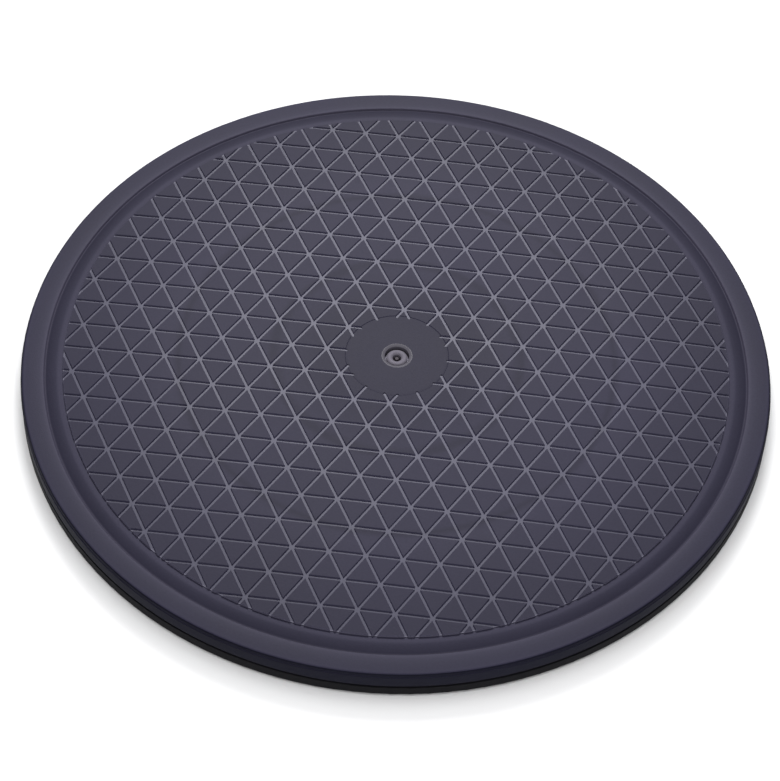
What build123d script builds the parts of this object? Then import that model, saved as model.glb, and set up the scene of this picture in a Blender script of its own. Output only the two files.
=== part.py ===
from build123d import *
from math import asin, cos, degrees, isclose, radians, sin, sqrt
import os

# Pivot disc: a person stands on the top disc, which turns on a ring of balls
# over the bottom disc. A hollow rivet at the centre holds the two together.
# The frame has its origin on the floor, on the axis of the rivet, with +Z up.
# Sizes are in millimetres.

# Outline of both discs
disc_radius = 191.0
edge_round = 0.5

# Rubber feet
foot_count = 6
foot_circle = 165.0
foot_radius = 13.0
foot_round = 0.5
foot_tread_radius = 8.0
foot_tread_width = 2.0
foot_tread_depth = 0.5
foot_seat_depth = 0.5
foot_seat_clearance = 0.3

# Bottom disc
floor_clearance = 1.5
bottom_plate = 2.5
bottom_edge_height = 5.8
edge_wall = 2.8
lip_radius = 186.2
lip_wall = 2.0
lip_height = 8.0

# Skirt and rim of the top disc
disc_gap = 1.2
bead_height = 6.9
bead_step = 0.4
bead_round = 0.3
skirt_wall = 3.0
rim_height = 2.1
rim_inner_radius = 179.4
rim_inner_round = 0.8
rim_outer_round = 1.3
rim_plate = 2.8

# Crowned tread of the top disc, and the ring groove and gutter round it
crown_height = 3.58
crown_radius = 180.0
crown_lift = 0.9
top_plate = 3.0
field_radius = 169.6
ring_width = 2.7
ring_depth = 1.0
gutter_radius = 178.8
gutter_depth = 1.0
gutter_plate = 2.5
gutter_curve = 40.0

# Triangles of the tread, raised between three families of straight grooves
triangle_pitch = 18.0
groove_width = 1.5
groove_depth = 0.7
groove_start_radius = 25.2
groove_overrun = 1.0
cutter_rise = 1.0

# Plain boss in the middle of the tread
boss_radius = 26.3
boss_step = 0.25
mouth_radius = 7.7
mouth_depth = 0.5
recess_radius = 6.2
recess_depth = 3.7

# Balls, cage and races
ball_count = 24
ball_diameter = 8.0
race_radius = 113.0
race_width = 12.0
race_height = 4.2
race_clearance = 0.25
cage_thickness = 2.4
cage_width = 11.0
cage_gap = 0.8
pocket_clearance = 0.15

# Webs that stiffen both discs
web_thickness = 1.8
inner_web_count = 12
outer_web_count = 24
ring_web_radius = 64.0
web_overlap = 0.5
bottom_web_height = 4.0
web_gap = 4.5

# Rivet, the mandrel left in it, its washers and its bush
shank_radius = 4.0
rivet_bore = 2.2
head_radius = 5.4
head_height = 1.0
head_edge = 0.35
head_gap = 0.2
formed_foot_radius = 6.4
formed_foot_height = 1.0
formed_foot_round = 0.3
mandrel_neck_radius = 0.9
mandrel_neck_height = 2.0
mandrel_drop = 0.9
mandrel_end_round = 0.3
fit_gap = 0.05
hub_recess_radius = 10.0
hub_recess_depth = 2.7
bottom_hub_radius = 14.0
bottom_hub_height = 5.0
clinch_washer_radius = 8.5
clinch_washer_thickness = 1.1
thrust_washer_radius = 12.0
thrust_washer_thickness = 1.0
top_hub_radius = 11.0
hub_gap = 0.3
bush_wall = 1.6
bush_flange_radius = 5.9
bush_flange = 0.5
head_washer_thickness = 0.6

# Heights above the floor, from the feet up
bottom_under = floor_clearance
bottom_inside = bottom_under + bottom_plate
bottom_edge_top = bottom_under + bottom_edge_height
lip_top = bottom_inside + lip_height
lower_race_top = bottom_inside + race_height
cage_bottom = lower_race_top + cage_gap
ball_height = cage_bottom + cage_thickness / 2
upper_race_bottom = cage_bottom + cage_thickness + cage_gap
bottom_web_top = bottom_inside + bottom_web_height
top_web_bottom = bottom_web_top + web_gap
skirt_bottom = bottom_edge_top + disc_gap
bead_top = skirt_bottom + bead_height
rim_top = bead_top + rim_height
rim_under = rim_top - rim_plate
gutter_floor = rim_top - gutter_depth
gutter_under = gutter_floor - gutter_plate

# Radii that follow from the driving sizes
ball_radius = ball_diameter / 2
race_groove_radius = ball_radius + race_clearance
race_inner_radius = race_radius - race_width / 2
race_outer_radius = race_radius + race_width / 2
edge_inner_radius = disc_radius - edge_wall
rim_outer_radius = disc_radius - bead_step
rim_under_radius = rim_inner_radius + gutter_plate
skirt_inner_radius = disc_radius - skirt_wall
ring_outer_radius = field_radius + ring_width
groove_end_radius = field_radius + groove_overrun
rivet_hole_radius = shank_radius + fit_gap
bush_radius = rivet_hole_radius + bush_wall

# The crown is part of a sphere, and stands over the rim by the lift at its own radius
sphere_radius = (crown_radius**2 + crown_height**2) / (2 * crown_height)
sphere_centre = rim_top + crown_lift + crown_height - sphere_radius


def crown(radius, drop=0.0):
    """Height of the crown at a distance from the axis, lowered by drop."""
    return sphere_centre - drop + sqrt(sphere_radius**2 - radius**2)


def crown_arc(drop, inner_radius, outer_radius):
    """Line of the crown between two distances from the axis. It starts at the outer one."""
    outer_angle = 90 - degrees(asin(outer_radius / sphere_radius))
    inner_angle = 90 - degrees(asin(inner_radius / sphere_radius))
    return CenterArc((0, sphere_centre - drop), sphere_radius, outer_angle, inner_angle - outer_angle)


# Heights at the hub, from the crown down
boss_top = crown(boss_radius) - boss_step
recess_floor = boss_top - recess_depth
bush_top = recess_floor + bush_flange
head_washer_top = bush_top + head_washer_thickness
head_under = head_washer_top + head_gap
head_top = head_under + head_height
mandrel_top = head_top - mandrel_drop

# Heights at the hub, from the bottom disc up
hub_recess_top = bottom_under + hub_recess_depth
formed_foot_top = hub_recess_top - clinch_washer_thickness
formed_foot_bottom = formed_foot_top - formed_foot_height
bottom_hub_top = bottom_inside + bottom_hub_height
thrust_washer_top = bottom_hub_top + thrust_washer_thickness
top_hub_bottom = thrust_washer_top + hub_gap

os.makedirs("parts", exist_ok=True)


def save(piece, name):
    """Labels a finished piece and writes it to its own file."""
    piece.part.label = name
    export_step(piece.part, f"parts/{name}.step")


def flat_ring(inner_radius, outer_radius, bottom, top):
    """A washer between two radii and two heights."""
    with BuildPart() as ring:
        with BuildSketch(Plane.XY.offset(bottom)):
            Circle(outer_radius)
            Circle(inner_radius, mode=Mode.SUBTRACT)
        extrude(amount=top - bottom)
    return ring


def web_plan(hub_radius, outer_end):
    """Plan of a disc's webs: spokes on both sides of the race, and a ring between hub and race."""
    spans = (
        (hub_radius, race_inner_radius, inner_web_count),
        (race_outer_radius, outer_end, outer_web_count),
    )
    for start, end, count in spans:
        with PolarLocations((start + end) / 2, count):
            Rectangle(end - start + 2 * web_overlap, web_thickness)
    ring_outer = Circle(ring_web_radius + web_thickness / 2, mode=Mode.PRIVATE)
    ring_inner = Circle(ring_web_radius - web_thickness / 2, mode=Mode.PRIVATE)
    add(ring_outer - ring_inner)


def rings_at(piece, radius, height):
    """Circular edges of a piece at one radius and one height."""
    return [
        edge
        for edge in piece.edges().filter_by(GeomType.CIRCLE)
        if isclose(edge.radius, radius, abs_tol=0.001) and isclose(edge.center().Z, height, abs_tol=0.001)
    ]


# Webs under the top disc, cut off inside its plate
with BuildPart() as top_webs:
    with BuildSketch(Plane.XY.offset(top_web_bottom)):
        web_plan(top_hub_radius, field_radius)
    extrude(amount=crown(0) - top_web_bottom)
    with BuildSketch(Plane.XZ):
        with BuildLine():
            middle_line = crown_arc(top_plate / 2, 0, crown_radius)
            Polyline(middle_line @ 1, (0, 0), (crown_radius, 0), middle_line @ 0)
        make_face()
    revolve(axis=Axis.Z, mode=Mode.INTERSECT)

# Grooves of the tread: straight rows at three angles, down to the groove depth. A row that would
# cross the boss is two stubs with round ends instead.
row_spacing = triangle_pitch * sqrt(3) / 2
row_count = int(groove_end_radius / row_spacing)
row_turns = (0, 60, 120)


def row_places(along, offset):
    """Places at a distance along a groove row that lies at an offset from the axis, one for each angle."""
    return [Location((0, 0, 0), (0, 0, turn)) * Location((along, offset, 0)) for turn in row_turns]


with BuildPart() as groove_cutter:
    with BuildSketch(Plane.XY.offset(rim_under)):
        whole_rows = []
        for row in range(-row_count, row_count + 1):
            offset = row * row_spacing
            if abs(offset) > groove_start_radius:
                whole_rows += row_places(0, offset)
            else:
                start = sqrt(groove_start_radius**2 - offset**2) + groove_width / 2
                middle = (start + groove_end_radius) / 2
                with Locations(*row_places(middle, offset), *row_places(-middle, offset)):
                    SlotCenterToCenter(groove_end_radius - start, groove_width)
        with Locations(*whole_rows):
            Rectangle(2 * groove_end_radius, groove_width)
        Circle(groove_end_radius, mode=Mode.INTERSECT)
    extrude(amount=crown(0) + cutter_rise - rim_under)
    # The floor's sphere lies on its side, which keeps its seam and poles away from the tread
    with Locations((0, 0, sphere_centre - groove_depth)):
        Sphere(sphere_radius, rotation=(0, 90, 0), mode=Mode.SUBTRACT)

# Ball's groove in the races of both discs
with BuildPart() as race_cutter:
    with BuildSketch(Plane.XZ):
        with Locations((race_radius, ball_height)):
            Circle(race_groove_radius)
    revolve(axis=Axis.Z)

# Top disc
with BuildPart() as top_disc:
    with BuildSketch(Plane.XZ):
        with BuildLine():
            tread_line = crown_arc(0, boss_radius, field_radius)
            ring_line = crown_arc(ring_depth, field_radius, ring_outer_radius)
            under_line = crown_arc(top_plate, top_hub_radius, field_radius)
            Line(tread_line @ 0, ring_line @ 1)
            RadiusArc(ring_line @ 0, (gutter_radius, gutter_floor), gutter_curve)
            Polyline(
                (gutter_radius, gutter_floor),
                (rim_inner_radius, rim_top),
                (rim_outer_radius, rim_top),
                (rim_outer_radius, bead_top),
                (disc_radius, bead_top),
                (disc_radius, skirt_bottom),
                (skirt_inner_radius, skirt_bottom),
                (skirt_inner_radius, rim_under),
                (rim_under_radius, rim_under),
                (rim_under_radius, gutter_under),
                (gutter_radius, gutter_under),
                under_line @ 0,
            )
            Polyline(
                under_line @ 1,
                (top_hub_radius, top_hub_bottom),
                (bush_radius, top_hub_bottom),
                (bush_radius, recess_floor),
                (recess_radius, recess_floor),
                (recess_radius, boss_top - mouth_depth),
                (mouth_radius, boss_top),
                (boss_radius, boss_top),
                tread_line @ 1,
            )
        make_face()
    revolve(axis=Axis.Z)
    fillet(rings_at(top_disc, rim_inner_radius, rim_top), radius=rim_inner_round)
    fillet(rings_at(top_disc, rim_outer_radius, rim_top), radius=rim_outer_round)
    fillet(rings_at(top_disc, disc_radius, bead_top), radius=bead_round)
    fillet(rings_at(top_disc, disc_radius, skirt_bottom), radius=edge_round)
    with BuildSketch(Plane.XZ):
        race_top = crown(race_outer_radius) - top_plate / 2
        with Locations((race_radius, (upper_race_bottom + race_top) / 2)):
            Rectangle(race_width, race_top - upper_race_bottom)
    revolve(axis=Axis.Z)
    add(top_webs.part)
    add(race_cutter.part, mode=Mode.SUBTRACT)
    add(groove_cutter.part, mode=Mode.SUBTRACT)
save(top_disc, "top_disc")

# Bottom disc
with BuildPart() as bottom_disc:
    with BuildSketch(Plane.XZ):
        with BuildLine():
            Polyline(
                (rivet_hole_radius, hub_recess_top),
                (hub_recess_radius, hub_recess_top),
                (hub_recess_radius, bottom_under),
                (disc_radius, bottom_under),
                (disc_radius, bottom_edge_top),
                (edge_inner_radius, bottom_edge_top),
                (edge_inner_radius, bottom_inside),
                (lip_radius, bottom_inside),
                (lip_radius, lip_top),
                (lip_radius - lip_wall, lip_top),
                (lip_radius - lip_wall, bottom_inside),
                (race_outer_radius, bottom_inside),
                (race_outer_radius, lower_race_top),
                (race_inner_radius, lower_race_top),
                (race_inner_radius, bottom_inside),
                (bottom_hub_radius, bottom_inside),
                (bottom_hub_radius, bottom_hub_top),
                (rivet_hole_radius, bottom_hub_top),
                close=True,
            )
        make_face()
    revolve(axis=Axis.Z)
    fillet(rings_at(bottom_disc, disc_radius, bottom_edge_top), radius=edge_round)
    fillet(rings_at(bottom_disc, disc_radius, bottom_under), radius=edge_round)
    with BuildSketch(Plane.XY.offset(bottom_inside - web_overlap)):
        web_plan(bottom_hub_radius, lip_radius - lip_wall)
    extrude(amount=bottom_web_height + web_overlap)
    add(race_cutter.part, mode=Mode.SUBTRACT)
    with BuildSketch(Plane.XY.offset(bottom_under)):
        with PolarLocations(foot_circle, foot_count):
            Circle(foot_radius + foot_seat_clearance)
    extrude(amount=foot_seat_depth, mode=Mode.SUBTRACT)
save(bottom_disc, "bottom_disc")

# Hollow rivet: formed foot below, shank, domed head above
with BuildPart() as pivot_rivet:
    with BuildSketch(Plane.XZ):
        with BuildLine():
            head_crest = ((rivet_bore + shank_radius) / 2, head_top)
            Polyline(
                (rivet_bore, formed_foot_bottom),
                (formed_foot_radius - formed_foot_round, formed_foot_bottom),
                (formed_foot_radius, formed_foot_bottom + formed_foot_round),
                (formed_foot_radius, formed_foot_top),
                (shank_radius, formed_foot_top),
                (shank_radius, head_under),
                (head_radius, head_under),
                (head_radius, head_under + head_edge),
            )
            ThreePointArc(
                (head_radius, head_under + head_edge),
                head_crest,
                (rivet_bore, head_under + head_edge),
            )
            Line((rivet_bore, head_under + head_edge), (rivet_bore, formed_foot_bottom))
        make_face()
    revolve(axis=Axis.Z)
save(pivot_rivet, "pivot_rivet")

# Mandrel that set the rivet: broken off inside its bore, with a thin neck at the top
with BuildPart() as rivet_mandrel:
    with BuildSketch(Plane.XY.offset(formed_foot_bottom)):
        Circle(rivet_bore)
    extrude(amount=mandrel_top - mandrel_neck_height - formed_foot_bottom)
    fillet(rings_at(rivet_mandrel, rivet_bore, formed_foot_bottom), radius=mandrel_end_round)
    with BuildSketch(Plane.XY.offset(mandrel_top)):
        Circle(mandrel_neck_radius)
    extrude(amount=-mandrel_neck_height)
save(rivet_mandrel, "rivet_mandrel")

# Flat washers on the rivet
clinch_washer = flat_ring(rivet_hole_radius, clinch_washer_radius, formed_foot_top, hub_recess_top)
save(clinch_washer, "clinch_washer")
thrust_washer = flat_ring(rivet_hole_radius, thrust_washer_radius, bottom_hub_top, thrust_washer_top)
save(thrust_washer, "thrust_washer")
head_washer = flat_ring(rivet_hole_radius, bush_flange_radius, bush_top, head_washer_top)
save(head_washer, "head_washer")

# Flanged bush in the top disc's hub
with BuildPart() as hub_bush:
    with BuildSketch(Plane.XZ):
        with BuildLine():
            Polyline(
                (rivet_hole_radius, top_hub_bottom),
                (bush_radius, top_hub_bottom),
                (bush_radius, recess_floor),
                (bush_flange_radius, recess_floor),
                (bush_flange_radius, bush_top),
                (rivet_hole_radius, bush_top),
                close=True,
            )
        make_face()
    revolve(axis=Axis.Z)
save(hub_bush, "hub_bush")

# Cage with a round pocket for each ball
with BuildPart() as ball_cage:
    with BuildSketch(Plane.XY.offset(cage_bottom)):
        Circle(race_radius + cage_width / 2)
        Circle(race_radius - cage_width / 2, mode=Mode.SUBTRACT)
        with PolarLocations(race_radius, ball_count):
            Circle(ball_radius + pocket_clearance, mode=Mode.SUBTRACT)
    extrude(amount=cage_thickness)
save(ball_cage, "ball_cage")

# Steel balls
for index in range(ball_count):
    turn = radians(index * 360 / ball_count)
    with BuildPart() as ball:
        with Locations((race_radius * cos(turn), race_radius * sin(turn), ball_height)):
            Sphere(ball_radius)
    save(ball, f"ball_{index + 1:02d}")

# Rubber foot pads, each with a ring tread in its sole
for index in range(foot_count):
    turn = radians(index * 360 / foot_count)
    foot_place = (foot_circle * cos(turn), foot_circle * sin(turn))
    with BuildPart() as foot_pad:
        with BuildSketch():
            with Locations(foot_place):
                Circle(foot_radius)
        extrude(amount=floor_clearance + foot_seat_depth)
        fillet(foot_pad.edges().group_by(Axis.Z)[0], radius=foot_round)
        with BuildSketch():
            with Locations(foot_place):
                Circle(foot_tread_radius)
                Circle(foot_tread_radius - foot_tread_width, mode=Mode.SUBTRACT)
        extrude(amount=foot_tread_depth, mode=Mode.SUBTRACT)
    save(foot_pad, f"foot_pad_{index + 1}")
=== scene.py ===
from math import acos, asin, atan2, cos, hypot, pi, radians, sin, sqrt, tan

import bpy
from mathutils import Matrix, Vector


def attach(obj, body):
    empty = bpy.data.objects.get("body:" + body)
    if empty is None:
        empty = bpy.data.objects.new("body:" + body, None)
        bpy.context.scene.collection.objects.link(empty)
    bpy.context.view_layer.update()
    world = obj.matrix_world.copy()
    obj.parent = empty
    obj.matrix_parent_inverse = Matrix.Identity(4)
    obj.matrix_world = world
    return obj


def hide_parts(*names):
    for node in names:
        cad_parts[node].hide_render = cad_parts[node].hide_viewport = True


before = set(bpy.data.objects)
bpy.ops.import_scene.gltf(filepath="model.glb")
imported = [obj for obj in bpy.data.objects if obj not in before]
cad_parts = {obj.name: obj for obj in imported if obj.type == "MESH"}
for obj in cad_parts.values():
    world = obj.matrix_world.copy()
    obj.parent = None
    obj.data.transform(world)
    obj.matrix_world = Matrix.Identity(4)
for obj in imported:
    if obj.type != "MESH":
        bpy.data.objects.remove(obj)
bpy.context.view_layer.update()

# Pivot disc. Sizes here are in millimetres and are the CAD model's own; MM turns them to metres.
MM = 0.001

# Outline and heights of the top disc
disc_radius = 191.0
bead_step = 0.4
rim_outer_radius = disc_radius - bead_step
rim_inner_radius = 179.4
rim_top = 17.5
bead_top = 15.4
skirt_bottom = 8.5
skirt_inner_radius = 188.0
rim_under = 14.7
rim_inner_round = 0.8
rim_outer_round = 1.3
bead_round = 0.3
edge_round = 0.5

# Crown of the tread: a sphere's cap that stands over the rim by the lift at its own radius
crown_height = 3.58
crown_radius = 180.0
crown_lift = 0.9
sphere_radius = (crown_radius**2 + crown_height**2) / (2 * crown_height)
sphere_centre = rim_top + crown_lift + crown_height - sphere_radius
top_plate = 3.0

# Tread, ring groove and gutter
triangle_pitch = 18.0
lattice_rings = 11
groove_width = 1.5
groove_depth = 0.7
field_radius = 169.6
ring_outer_radius = 172.3
ring_depth = 1.0
gutter_radius = 178.8
gutter_floor = 16.5
gutter_under = 14.0
gutter_plate = 2.5
gutter_curve = 40.0

# Boss and hub
boss_radius = 26.3
boss_step = 0.25
groove_start_radius = 25.2
mouth_radius = 7.7
mouth_depth = 0.5
recess_radius = 6.2
recess_depth = 3.7
bush_radius = 5.65
top_hub_radius = 11.0
top_hub_bottom = 10.3

# Upper race and webs, all inside
race_radius = 113.0
race_width = 12.0
upper_race_bottom = 12.2
ball_height = 10.2
race_groove_radius = 4.25
web_thickness = 1.8
top_web_bottom = 12.5
ring_web_radius = 64.0


def crown(radius, drop=0.0):
    """Height of the tread's crown at a distance from the axis, lowered by drop."""
    return sphere_centre - drop + sqrt(sphere_radius**2 - radius**2)


# Camera: fitted to the tread's lattice and the outline in the photograph
camera_elevation = radians(51.148)
camera_azimuth = radians(5.071)
camera_roll = radians(2.451)
camera_distance = 1428.6
camera_target = Vector((-0.97, -20.59, 18.4))
camera_lens = 130.32
sensor_width = 36.0

away = Vector(
    (
        sin(camera_azimuth) * cos(camera_elevation),
        -cos(camera_azimuth) * cos(camera_elevation),
        sin(camera_elevation),
    )
)
level = Vector((cos(camera_azimuth), sin(camera_azimuth), 0))
upright = away.cross(level)
camera_x = level * cos(camera_roll) + upright * sin(camera_roll)
camera_y = upright * cos(camera_roll) - level * sin(camera_roll)
bpy.ops.object.select_all(action="DESELECT")
bpy.ops.object.camera_add(location=(camera_target + away * camera_distance) * MM)
camera = bpy.context.object
camera.rotation_euler = Matrix((camera_x, camera_y, away)).transposed().to_euler()
camera.data.lens = camera_lens
camera.data.sensor_width = sensor_width
camera.data.clip_start = 0.05
camera.data.clip_end = 20.0
bpy.context.scene.camera = camera


# Making of meshes
def edit(piece):
    """Opens one piece alone in edit mode."""
    bpy.ops.object.select_all(action="DESELECT")
    bpy.context.view_layer.objects.active = piece
    piece.select_set(True)
    bpy.ops.object.mode_set(mode="EDIT")


def leave():
    bpy.ops.object.mode_set(mode="OBJECT")


def pick(piece, kind, test):
    """Selects, in an open piece, the vertices, edges or faces that pass a test on their element."""
    bpy.ops.mesh.select_mode(type={"vertices": "VERT", "edges": "EDGE", "polygons": "FACE"}[kind])
    bpy.ops.mesh.select_all(action="DESELECT")
    leave()
    for element in getattr(piece.data, kind):
        element.select = test(element)
    bpy.ops.object.mode_set(mode="EDIT")


def settle(piece):
    """Puts a piece's place into its mesh."""
    bpy.ops.object.select_all(action="DESELECT")
    bpy.context.view_layer.objects.active = piece
    piece.select_set(True)
    bpy.ops.object.transform_apply(location=True, rotation=True, scale=True)


def copy_of(piece, turn, shift=(0, 0, 0)):
    """A copy with its own mesh, shifted and then turned about the disc's axis."""
    twin = piece.copy()
    twin.data = piece.data.copy()
    bpy.context.scene.collection.objects.link(twin)
    twin.data.transform(Matrix.Rotation(turn, 4, "Z") @ Matrix.Translation(shift))
    return twin


def join(pieces):
    bpy.ops.object.select_all(action="DESELECT")
    for piece in pieces:
        piece.select_set(True)
    bpy.context.view_layer.objects.active = pieces[0]
    bpy.ops.object.join()
    return pieces[0]


def cut(piece, tool):
    """Takes a tool's volume out of a piece, and removes the tool."""
    modifier = piece.modifiers.new("cut", "BOOLEAN")
    modifier.operation = "DIFFERENCE"
    modifier.solver = "EXACT"
    modifier.object = tool
    bpy.ops.object.select_all(action="DESELECT")
    bpy.context.view_layer.objects.active = piece
    piece.select_set(True)
    bpy.ops.object.modifier_apply(modifier=modifier.name)
    bpy.data.objects.remove(tool)


def smooth(piece, angle=35):
    bpy.ops.object.select_all(action="DESELECT")
    bpy.context.view_layer.objects.active = piece
    piece.select_set(True)
    bpy.ops.object.shade_smooth_by_angle(angle=radians(angle))


def rounded(points, steps=4):
    """Profile with some corners rounded. A point is (radius, height), or (radius, height, corner radius)."""
    line = []
    count = len(points)
    for index, point in enumerate(points):
        if len(point) == 2:
            line.append(Vector(point))
            continue
        corner = Vector(point[:2])
        before = (Vector(points[index - 1][:2]) - corner).normalized()
        after = (Vector(points[(index + 1) % count][:2]) - corner).normalized()
        half = acos(max(-1.0, min(1.0, before.dot(after)))) / 2
        reach = point[2] / tan(half)
        centre = corner + (before + after).normalized() * (point[2] / sin(half))
        start = corner + before * reach - centre
        end = corner + after * reach - centre
        for step in range(steps + 1):
            mix = start.lerp(end, step / steps).normalized() * point[2]
            line.append(centre + mix)
    return line


def lathe(name, profile, segments):
    """A closed profile of (radius, height) turned about the disc's axis."""
    bpy.ops.object.select_all(action="DESELECT")
    bpy.ops.mesh.primitive_circle_add(vertices=len(profile), radius=MM, fill_type="NOTHING")
    piece = bpy.context.object
    piece.name = name
    for vertex, point in zip(piece.data.vertices, profile):
        vertex.co = (point[0] * MM, 0, point[1] * MM)
    edit(piece)
    bpy.ops.mesh.select_all(action="SELECT")
    bpy.ops.mesh.spin(steps=segments, angle=2 * pi, center=(0, 0, 0), axis=(0, 0, 1))
    bpy.ops.mesh.select_all(action="SELECT")
    bpy.ops.mesh.remove_doubles(threshold=0.002 * MM)
    bpy.ops.mesh.normals_make_consistent(inside=False)
    leave()
    return piece


# Body of the top disc: one turned profile from the hub over the tread's floor to the skirt and back underneath
disc_segments = 256
floor_rings = 12
floor_end = field_radius - 0.1
boss_top = crown(boss_radius) - boss_step
recess_floor = boss_top - recess_depth
race_inner = race_radius - race_width / 2
race_outer = race_radius + race_width / 2
groove_half = sqrt(race_groove_radius**2 - (upper_race_bottom - ball_height) ** 2)

profile = rounded(
    [
        (bush_radius, top_hub_bottom),
        (bush_radius, recess_floor),
        (recess_radius, recess_floor),
        (recess_radius, boss_top - mouth_depth, 0.3),
        (mouth_radius, boss_top, 0.6),
        (12.0, boss_top),
        (18.0, boss_top),
        (boss_radius - 2.0, boss_top),
        (boss_radius, boss_top, 0.12),
        (boss_radius, crown(boss_radius, groove_depth)),
    ]
)
for index in range(1, floor_rings + 1):
    radius = boss_radius + (floor_end - boss_radius) * index / floor_rings
    profile.append(Vector((radius, crown(radius, groove_depth))))
profile.append(Vector((floor_end, crown(floor_end, ring_depth))))
profile.append(Vector((ring_outer_radius, crown(ring_outer_radius, ring_depth))))
gutter_start = profile[-1]
gutter_end = Vector((gutter_radius, gutter_floor))
gutter_steps = 8
chord = gutter_end - gutter_start
bulge = Vector((-chord.y, chord.x)).normalized() * (chord.length**2 / (8 * gutter_curve))
for step in range(1, gutter_steps):
    share = step / gutter_steps
    profile.append(gutter_start + chord * share + bulge * 4 * share * (1 - share))
profile += rounded(
    [
        (gutter_radius, gutter_floor, 0.35),
        (rim_inner_radius, rim_top, rim_inner_round),
        (rim_outer_radius, rim_top, rim_outer_round),
        (rim_outer_radius, bead_top, 0.1),
        (disc_radius, bead_top, bead_round),
        (disc_radius, skirt_bottom, edge_round),
        (skirt_inner_radius, skirt_bottom, 0.3),
        (skirt_inner_radius, rim_under),
        (rim_inner_radius + gutter_plate, rim_under),
        (rim_inner_radius + gutter_plate, gutter_under),
        (gutter_radius, gutter_under),
        (field_radius, crown(field_radius, top_plate)),
    ],
    steps=5,
)
for radius in (155, 140, 130):
    profile.append(Vector((radius, crown(radius, top_plate))))
profile.append(Vector((race_outer, crown(race_outer, top_plate))))
profile.append(Vector((race_outer, upper_race_bottom)))
race_steps = 10
race_start = asin((upper_race_bottom - ball_height) / race_groove_radius)
for step in range(race_steps + 1):
    angle = race_start + (pi - 2 * race_start) * step / race_steps
    profile.append(
        Vector((race_radius + race_groove_radius * cos(angle), ball_height + race_groove_radius * sin(angle)))
    )
profile.append(Vector((race_inner, upper_race_bottom)))
profile.append(Vector((race_inner, crown(race_inner, top_plate))))
for radius in (90, 70, 50, 30):
    profile.append(Vector((radius, crown(radius, top_plate))))
profile.append(Vector((top_hub_radius, crown(top_hub_radius, top_plate))))
profile.append(Vector((top_hub_radius, top_hub_bottom)))
disc_body = lathe("disc_body", profile, disc_segments)

# The tread's grooves run a little way into the boss, and end there in half rounds
row_spacing = triangle_pitch * sqrt(3) / 2
stub_reach = 4.0
bpy.ops.object.select_all(action="DESELECT")
bpy.ops.mesh.primitive_cylinder_add(vertices=24, radius=groove_width / 2 * MM, depth=2 * MM)
stub = bpy.context.object
edit(stub)
pick(stub, "vertices", lambda v: v.co.x > 0.01 * MM)
bpy.ops.transform.translate(value=(stub_reach * MM, 0, 0))
leave()
stub_floor = crown(boss_radius, groove_depth)
stubs = []
for turn in range(6):
    for row in (-1, 0, 1):
        offset = row * row_spacing
        start = sqrt(groove_start_radius**2 - offset**2) + groove_width / 2
        place = (start * MM, offset * MM, (stub_floor + 1) * MM)
        stubs.append(copy_of(stub, turn * pi / 3, place))
bpy.data.objects.remove(stub)
cut(disc_body, join(stubs))

# Webs under the top disc
web_spans = ((top_hub_radius, race_inner, 12), (race_outer, field_radius, 24))
webs = []
for start, end, count in web_spans:
    bpy.ops.object.select_all(action="DESELECT")
    bpy.ops.mesh.primitive_cube_add(size=1)
    web = bpy.context.object
    web.scale = ((end - start + 1) * MM, web_thickness * MM, 1 * MM)
    settle(web)
    web.data.transform(Matrix.Translation(((start + end) / 2 * MM, 0, 0)))
    for vertex in web.data.vertices:
        top = crown(hypot(*vertex.co.xy) / MM, top_plate / 2)
        vertex.co.z = (top if vertex.co.z > 0 else top_web_bottom) * MM
    edit(web)
    pick(web, "edges", lambda e: all(web.data.vertices[i].co.z < (top_web_bottom + 0.1) * MM for i in e.vertices))
    bpy.ops.mesh.bevel(offset=0.3 * MM, segments=2)
    leave()
    webs += [copy_of(web, 2 * pi * index / count) for index in range(count)]
    bpy.data.objects.remove(web)
ring_top = crown(ring_web_radius, top_plate / 2)
webs.append(
    lathe(
        "ring_web",
        rounded(
            [
                (ring_web_radius - web_thickness / 2, top_web_bottom, 0.3),
                (ring_web_radius - web_thickness / 2, ring_top),
                (ring_web_radius + web_thickness / 2, ring_top),
                (ring_web_radius + web_thickness / 2, top_web_bottom, 0.3),
            ]
        ),
        disc_segments // 2,
    )
)
disc_webs = join(webs)
disc_webs.name = "disc_webs"

# Tread: raised triangles, from a hexagon divided into the lattice and inset by half a groove on every side
tile_root = 0.95
tile_bevel = 0.22
clip_planes = 192
bpy.ops.object.select_all(action="DESELECT")
bpy.ops.mesh.primitive_circle_add(
    vertices=6, radius=lattice_rings * triangle_pitch * MM, fill_type="TRIFAN", rotation=(0, 0, pi / 6)
)
tread = bpy.context.object
tread.name = "tread_triangles"
settle(tread)
edit(tread)
bpy.ops.mesh.select_all(action="SELECT")
bpy.ops.mesh.subdivide(number_cuts=lattice_rings - 1)
bpy.ops.mesh.select_mode(type="FACE")
bpy.ops.mesh.select_all(action="SELECT")
bpy.ops.mesh.inset(thickness=groove_width / 2 * MM, use_individual=True, use_even_offset=True)
bpy.ops.mesh.select_all(action="INVERT")
bpy.ops.mesh.delete(type="FACE")
for index in range(clip_planes):
    angle = 2 * pi * index / clip_planes
    outward = (cos(angle), sin(angle), 0)
    edge = tuple(field_radius * MM * part for part in outward)
    bpy.ops.mesh.select_all(action="SELECT")
    bpy.ops.mesh.bisect(plane_co=edge, plane_no=outward, clear_outer=True)
bpy.ops.mesh.select_mode(type="VERT")
bpy.ops.mesh.select_all(action="SELECT")
bpy.ops.mesh.remove_doubles(threshold=0.3 * MM)
least_tile = 1.5
pick(tread, "polygons", lambda face: face.area < least_tile * MM * MM)
bpy.ops.mesh.delete(type="FACE")
bpy.ops.mesh.select_all(action="SELECT")
bpy.ops.mesh.delete_loose(use_verts=True, use_edges=True, use_faces=False)
bpy.ops.mesh.select_all(action="SELECT")
bpy.ops.transform.translate(value=(0, 0, -tile_root * MM))
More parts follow.
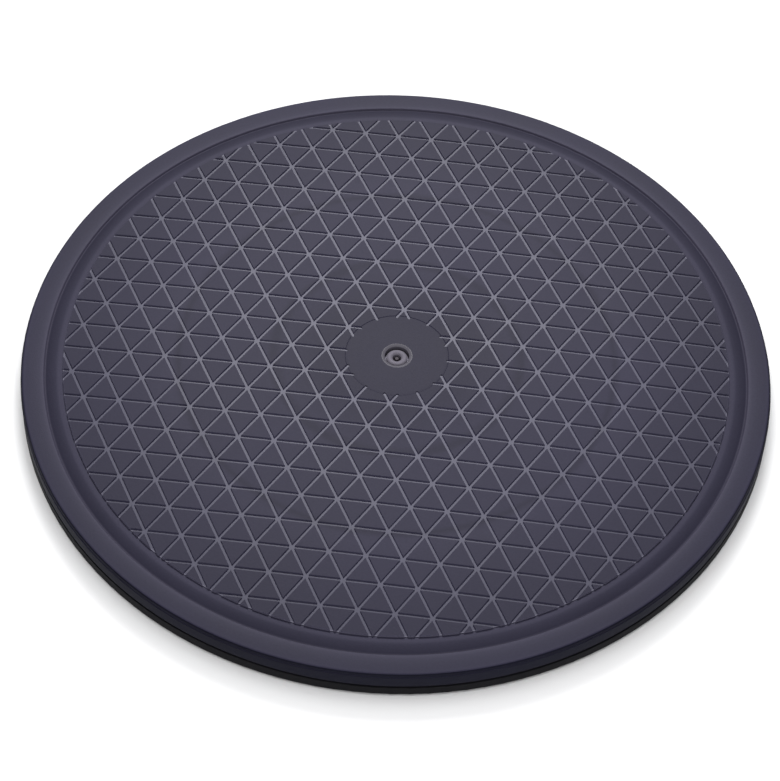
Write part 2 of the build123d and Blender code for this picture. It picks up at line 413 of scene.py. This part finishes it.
bpy.ops.mesh.extrude_region_move(TRANSFORM_OT_translate={"value": (0, 0, tile_root * MM)})
bpy.ops.mesh.select_all(action="SELECT")
bpy.ops.mesh.normals_make_consistent(inside=False)
leave()
bpy.ops.object.select_all(action="DESELECT")
bpy.ops.mesh.primitive_cylinder_add(vertices=disc_segments, radius=boss_radius * MM, depth=10 * MM)
cut(tread, bpy.context.object)
edit(tread)
pick(
    tread,
    "edges",
    lambda e: all(tread.data.vertices[i].co.z > -0.01 * MM for i in e.vertices),
)
bpy.ops.mesh.bevel(offset=tile_bevel * MM, segments=2, clamp_overlap=False)
leave()
for vertex in tread.data.vertices:
    vertex.co.z += crown(hypot(*vertex.co.xy) / MM) * MM


# Materials
def linear(code, alpha=1.0):
    """An sRGB hex colour as linear values."""
    parts = [int(code[i : i + 2], 16) / 255 for i in (1, 3, 5)]
    return [p / 12.92 if p <= 0.04045 else ((p + 0.055) / 1.055) ** 2.4 for p in parts] + [alpha]


def node(tree, kind, settings=None, links=None):
    """Adds a node with its settings. Links map its inputs to values or to other nodes' outputs."""
    made = tree.nodes.new(kind)
    for key, value in (settings or {}).items():
        setattr(made, key, value)
    for socket, value in (links or {}).items():
        if isinstance(value, bpy.types.NodeSocket):
            tree.links.new(value, made.inputs[socket])
        else:
            made.inputs[socket].default_value = value
    return made


def new_material(name):
    material = bpy.data.materials.new(name)
    material.use_nodes = True
    material.node_tree.nodes.clear()
    return material, material.node_tree


def finish_material(tree, shader, normal=None):
    if normal is not None:
        tree.links.new(normal, shader.inputs["Normal"])
    node(tree, "ShaderNodeOutputMaterial", links={"Surface": shader.outputs["BSDF"]})


def turned_shade(tree, place, stops, reach=192.0):
    """Grey levels by distance from the disc's axis, painted into the colour, with bands of painted shade and
    painted highlight among them. Stops are (radius in millimetres, level).
    """
    flat = node(tree, "ShaderNodeVectorMath", {"operation": "MULTIPLY"}, {0: place, 1: (1000.0, 1000.0, 0.0)})
    radius = node(tree, "ShaderNodeVectorMath", {"operation": "LENGTH"}, {0: flat.outputs["Vector"]})
    share = node(tree, "ShaderNodeMapRange", links={"Value": radius.outputs["Value"], "From Max": reach})
    ramp = node(tree, "ShaderNodeValToRGB", links={"Fac": share.outputs["Result"]})
    marks = ramp.color_ramp.elements
    while len(marks) < len(stops):
        marks.new(0.5)
    for mark, (radius, level) in zip(marks, stops):
        mark.position = radius / reach
        # Levels above one, mostly painted highlights and painted light, lose some blue, as white light would look
        # on the violet plastic
        mark.color = (level / 2, level / 2, level / 2 * (1 - 0.18 * max(0, level - 1)), 1)
    return ramp.outputs["Color"]


def moulded_abs(name, low, high, roughness, grain, specular, stops):
    """ABS from a mould with spark eroded walls: matt, with a fine grain and slow cloudy shifts of tone."""
    material, tree = new_material(name)
    place = node(tree, "ShaderNodeTexCoord").outputs["Object"]
    cloud = node(tree, "ShaderNodeTexNoise", links={"Vector": place, "Scale": 14.0, "Detail": 3.0})
    speck = node(tree, "ShaderNodeTexNoise", links={"Vector": place, "Scale": 900.0, "Detail": 2.0})
    both = node(
        tree,
        "ShaderNodeMath",
        {"operation": "MULTIPLY_ADD"},
        {0: speck.outputs["Fac"], 1: 0.6, 2: cloud.outputs["Fac"]},
    )
    tone = node(tree, "ShaderNodeMapRange", links={"Value": both.outputs[0], "From Min": 0.5, "From Max": 1.1})
    colour = node(
        tree,
        "ShaderNodeMix",
        {"data_type": "RGBA"},
        {"Factor": tone.outputs["Result"], 6: linear(low), 7: linear(high)},
    )
    # The radial levels multiply the colour: this is where the painted shade and painted highlights go in
    shade = turned_shade(tree, place, stops)
    double = node(tree, "ShaderNodeVectorMath", {"operation": "SCALE"}, {0: shade, "Scale": 2.0})
    shaded = node(
        tree,
        "ShaderNodeMix",
        {"data_type": "RGBA", "blend_type": "MULTIPLY"},
        {"Factor": 1.0, 6: colour.outputs[2], 7: double.outputs["Vector"]},
    )
    rough = node(
        tree,
        "ShaderNodeMapRange",
        links={"Value": cloud.outputs["Fac"], "To Min": roughness - 0.05, "To Max": roughness + 0.05},
    )
    pits = node(tree, "ShaderNodeTexNoise", links={"Vector": place, "Scale": 1600.0, "Detail": 3.0})
    bump = node(
        tree, "ShaderNodeBump", links={"Strength": grain, "Distance": 0.0002, "Height": pits.outputs["Fac"]}
    )
    shader = node(
        tree,
        "ShaderNodeBsdfPrincipled",
        links={
            "Base Color": shaded.outputs[2],
            "Roughness": rough.outputs["Result"],
            "IOR": 1.53,
            "Specular IOR Level": specular,
        },
    )
    finish_material(tree, shader, bump.outputs["Normal"])
    return material


# Painted light by radius: a painted highlight on the rim's rounded inner edge, painted shade in the gutter that
# deepens towards the rim, painted sheen on the ring groove's floor, and painted light lifting the shade in the
# rivet's recess; faint sink marks follow what is underneath
top_stops = (
    (0, 1.9), (6.3, 1.9), (7.5, 0.86), (26.4, 0.83), (39, 0.84), (58, 1.03), (62, 0.8), (64, 0.8),
    (66.5, 1.04), (85, 1.05), (108.5, 1.02), (111, 0.8), (114, 1.1), (117, 1.14), (126, 1.03),
    (147, 0.94), (168.8, 0.87), (169.4, 1.05), (170, 1.28), (172, 1.28), (173, 0.92), (175, 0.8), (178.3, 0.72),
    (178.7, 1.9), (179.3, 1.9), (179.9, 1.4), (181.5, 1.08), (184, 0.95), (187.5, 0.95), (189, 1.05), (191, 1.0),
)
# Groove floors: painted sheen, brightest near the middle and fading outwards, with faint sink marks; the ring
# groove's inner wall is painted light to lift its shade
floor_stops = (
    (0, 1.04), (60, 1.04), (107, 0.98), (112, 0.83), (115.5, 1.08), (118, 0.96), (150, 0.88),
    (168.8, 0.82), (169.4, 1.9), (192, 1.9),
)
side_stops = ((0, 1.0), (192, 1.0))
# Bottom disc: the ledge inside the gap between the discs is painted light against the gap's shade, and the outer
# side is painted near black as painted shade
lower_stops = ((0, 1.0), (185.5, 1.0), (186, 1.8), (189.9, 1.6), (190.5, 0.08), (192, 0.06))
tread_abs = moulded_abs("spark_textured_abs", "#2F2D3F", "#363447", 0.52, 0.35, 0.1, top_stops)
floor_abs = moulded_abs("satin_groove_abs", "#454358", "#4C4A61", 0.38, 0.1, 0.16, floor_stops)
# A near-black copy of the same ABS for the outer sides and undersides: painted shade, as these face away from the
# light
shaded_side_abs = moulded_abs("painted_shade_side_abs", "#0C0C1B", "#131324", 0.65, 0.2, 0.1, side_stops)
lower_abs = moulded_abs("matt_base_abs", "#3A3946", "#434150", 0.65, 0.3, 0.1, lower_stops)


def plain(name, code, roughness, metallic=0.0, grain=0.05, scale=600.0, ior=1.5):
    """A plain finish with a slight grain in its surface and roughness."""
    material, tree = new_material(name)
    place = node(tree, "ShaderNodeTexCoord").outputs["Object"]
    noise = node(tree, "ShaderNodeTexNoise", links={"Vector": place, "Scale": scale, "Detail": 3.0})
    rough = node(
        tree,
        "ShaderNodeMapRange",
        links={"Value": noise.outputs["Fac"], "To Min": roughness - 0.06, "To Max": roughness + 0.06},
    )
    bump = node(
        tree, "ShaderNodeBump", links={"Strength": grain, "Distance": 0.0002, "Height": noise.outputs["Fac"]}
    )
    shader = node(
        tree,
        "ShaderNodeBsdfPrincipled",
        links={
            "Base Color": linear(code),
            "Roughness": rough.outputs["Result"],
            "Metallic": metallic,
            "IOR": ior,
        },
    )
    finish_material(tree, shader, bump.outputs["Normal"])
    return material


# Lighter ABS at the mouth and wall of the rivet's recess: a painted highlight on the mouth's rounded edge and
# painted light that lifts the recess wall's shade
painted_light_mouth_abs = plain("painted_light_abs_mouth", "#53505B", 0.45, ior=1.53)
zinc = plain("dull_zinc_plated_steel", "#74707C", 0.75, 0.3)
brown_steel = plain("heat_browned_steel", "#48434A", 0.7, 0.3)
black_oxide = plain("black_oxide_steel", "#4A4850", 0.5, 1.0)
acetal = plain("natural_acetal", "#E6E3D8", 0.4, ior=1.48)
nylon = plain("natural_nylon", "#DCD8C8", 0.45, ior=1.53)
chrome_steel = plain("polished_bearing_steel", "#C9CBD0", 0.12, 1.0, grain=0.01)
rubber = plain("black_foot_rubber", "#141416", 0.8, grain=0.2, scale=1500.0, ior=1.52)


def dress(piece, materials, choose=None):
    """Gives a piece its materials, and each face the one that choose names for it."""
    piece.data.materials.clear()
    for material in materials:
        piece.data.materials.append(material)
    for face in piece.data.polygons:
        face.material_index = choose(face) if choose else 0


def body_finish(face):
    radius = hypot(*face.center.xy) / MM
    height = face.center.z / MM
    # The outer side, from partway round the rim's outer edge down, and the underside take the near-black copy:
    # painted shade
    if radius > rim_outer_radius - rim_outer_round and face.normal.z < 0.8 or height < gutter_under:
        return 2
    # The mouth and wall of the rivet's recess take the lighter ABS: a painted highlight, and painted light
    # against the recess's shade
    if recess_radius - 0.1 < radius < mouth_radius + 0.2 and height > recess_floor + 0.1:
        return 3
    on_floor = groove_start_radius - 1 < radius < floor_end and height < crown(radius, groove_depth - 0.1)
    return 1 if on_floor and face.normal.z > 0.9 else 0


# The triangles' walls take the lighter groove finish: painted light that lifts the shade on walls turned away
# from the light behind
def tread_finish(face):
    return 0 if face.normal.z > 0.6 else 1


dress(disc_body, [tread_abs, floor_abs, shaded_side_abs, painted_light_mouth_abs], body_finish)
dress(disc_webs, [shaded_side_abs])
dress(tread, [tread_abs, floor_abs], tread_finish)
smooth(disc_body)
smooth(disc_webs)
smooth(tread, 15)

for name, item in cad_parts.items():
    if name in ("top_disc", "bottom_disc"):
        finish = lower_abs
    elif name == "pivot_rivet":
        finish = zinc
    elif name == "rivet_mandrel":
        finish = brown_steel
    elif name in ("head_washer", "clinch_washer"):
        finish = black_oxide
    elif name in ("hub_bush", "thrust_washer"):
        finish = acetal
    elif name == "ball_cage":
        finish = nylon
    elif name.startswith("ball"):
        finish = chrome_steel
    else:
        finish = rubber
    item.data.materials.clear()
    item.data.materials.append(finish)

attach(disc_body, "top")
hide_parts("top_disc")
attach(disc_webs, "top")
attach(tread, "top")

# Stage: pale floor, a wide soft light from behind and above, and an even sky
bpy.ops.object.select_all(action="DESELECT")
bpy.ops.mesh.primitive_plane_add(size=8)
stage_floor = bpy.context.object
stage_floor.name = "stage_floor"
paper = plain("pale_paper_sweep", "#C6C6C7", 0.9, grain=0.0)
stage_floor.data.materials.append(paper)


def soft_light(name, place, aim, width, depth, power):
    """An area light at a place, turned to face a point. Both are in metres."""
    bpy.ops.object.light_add(type="AREA", location=place)
    light = bpy.context.object
    light.name = name
    light.data.shape = "RECTANGLE"
    light.data.size = width
    light.data.size_y = depth
    light.data.energy = power
    light.rotation_euler = (Vector(place) - Vector(aim)).to_track_quat("Z", "Y").to_euler()
    return light


soft_light("key_behind", (-0.14, 1.38, 1.6), (-0.02, 0.02, 0), 0.8, 0.6, 40.0)
soft_light("top_fill", (0.0, 0.2, 2.2), (0, 0, 0), 1.2, 2.4, 6.0)
soft_light("front_fill", (0.15, -1.7, 1.1), (0, 0, 0), 1.2, 0.8, 13.0)
floor_wash = soft_light("floor_wash", (0.0, -0.1, 2.4), (0, 0, 0), 3.0, 3.0, 98.0)
washed = bpy.data.collections.new("washed")
washed.objects.link(stage_floor)
floor_wash.light_linking.receiver_collection = washed
world = bpy.data.worlds.new("studio")
bpy.context.scene.world = world
world.use_nodes = True
sky = world.node_tree.nodes["Background"]
sky.inputs["Color"].default_value = linear("#FFFFFF")
sky.inputs["Strength"].default_value = 0.18
bpy.context.scene.view_settings.view_transform = "Standard"
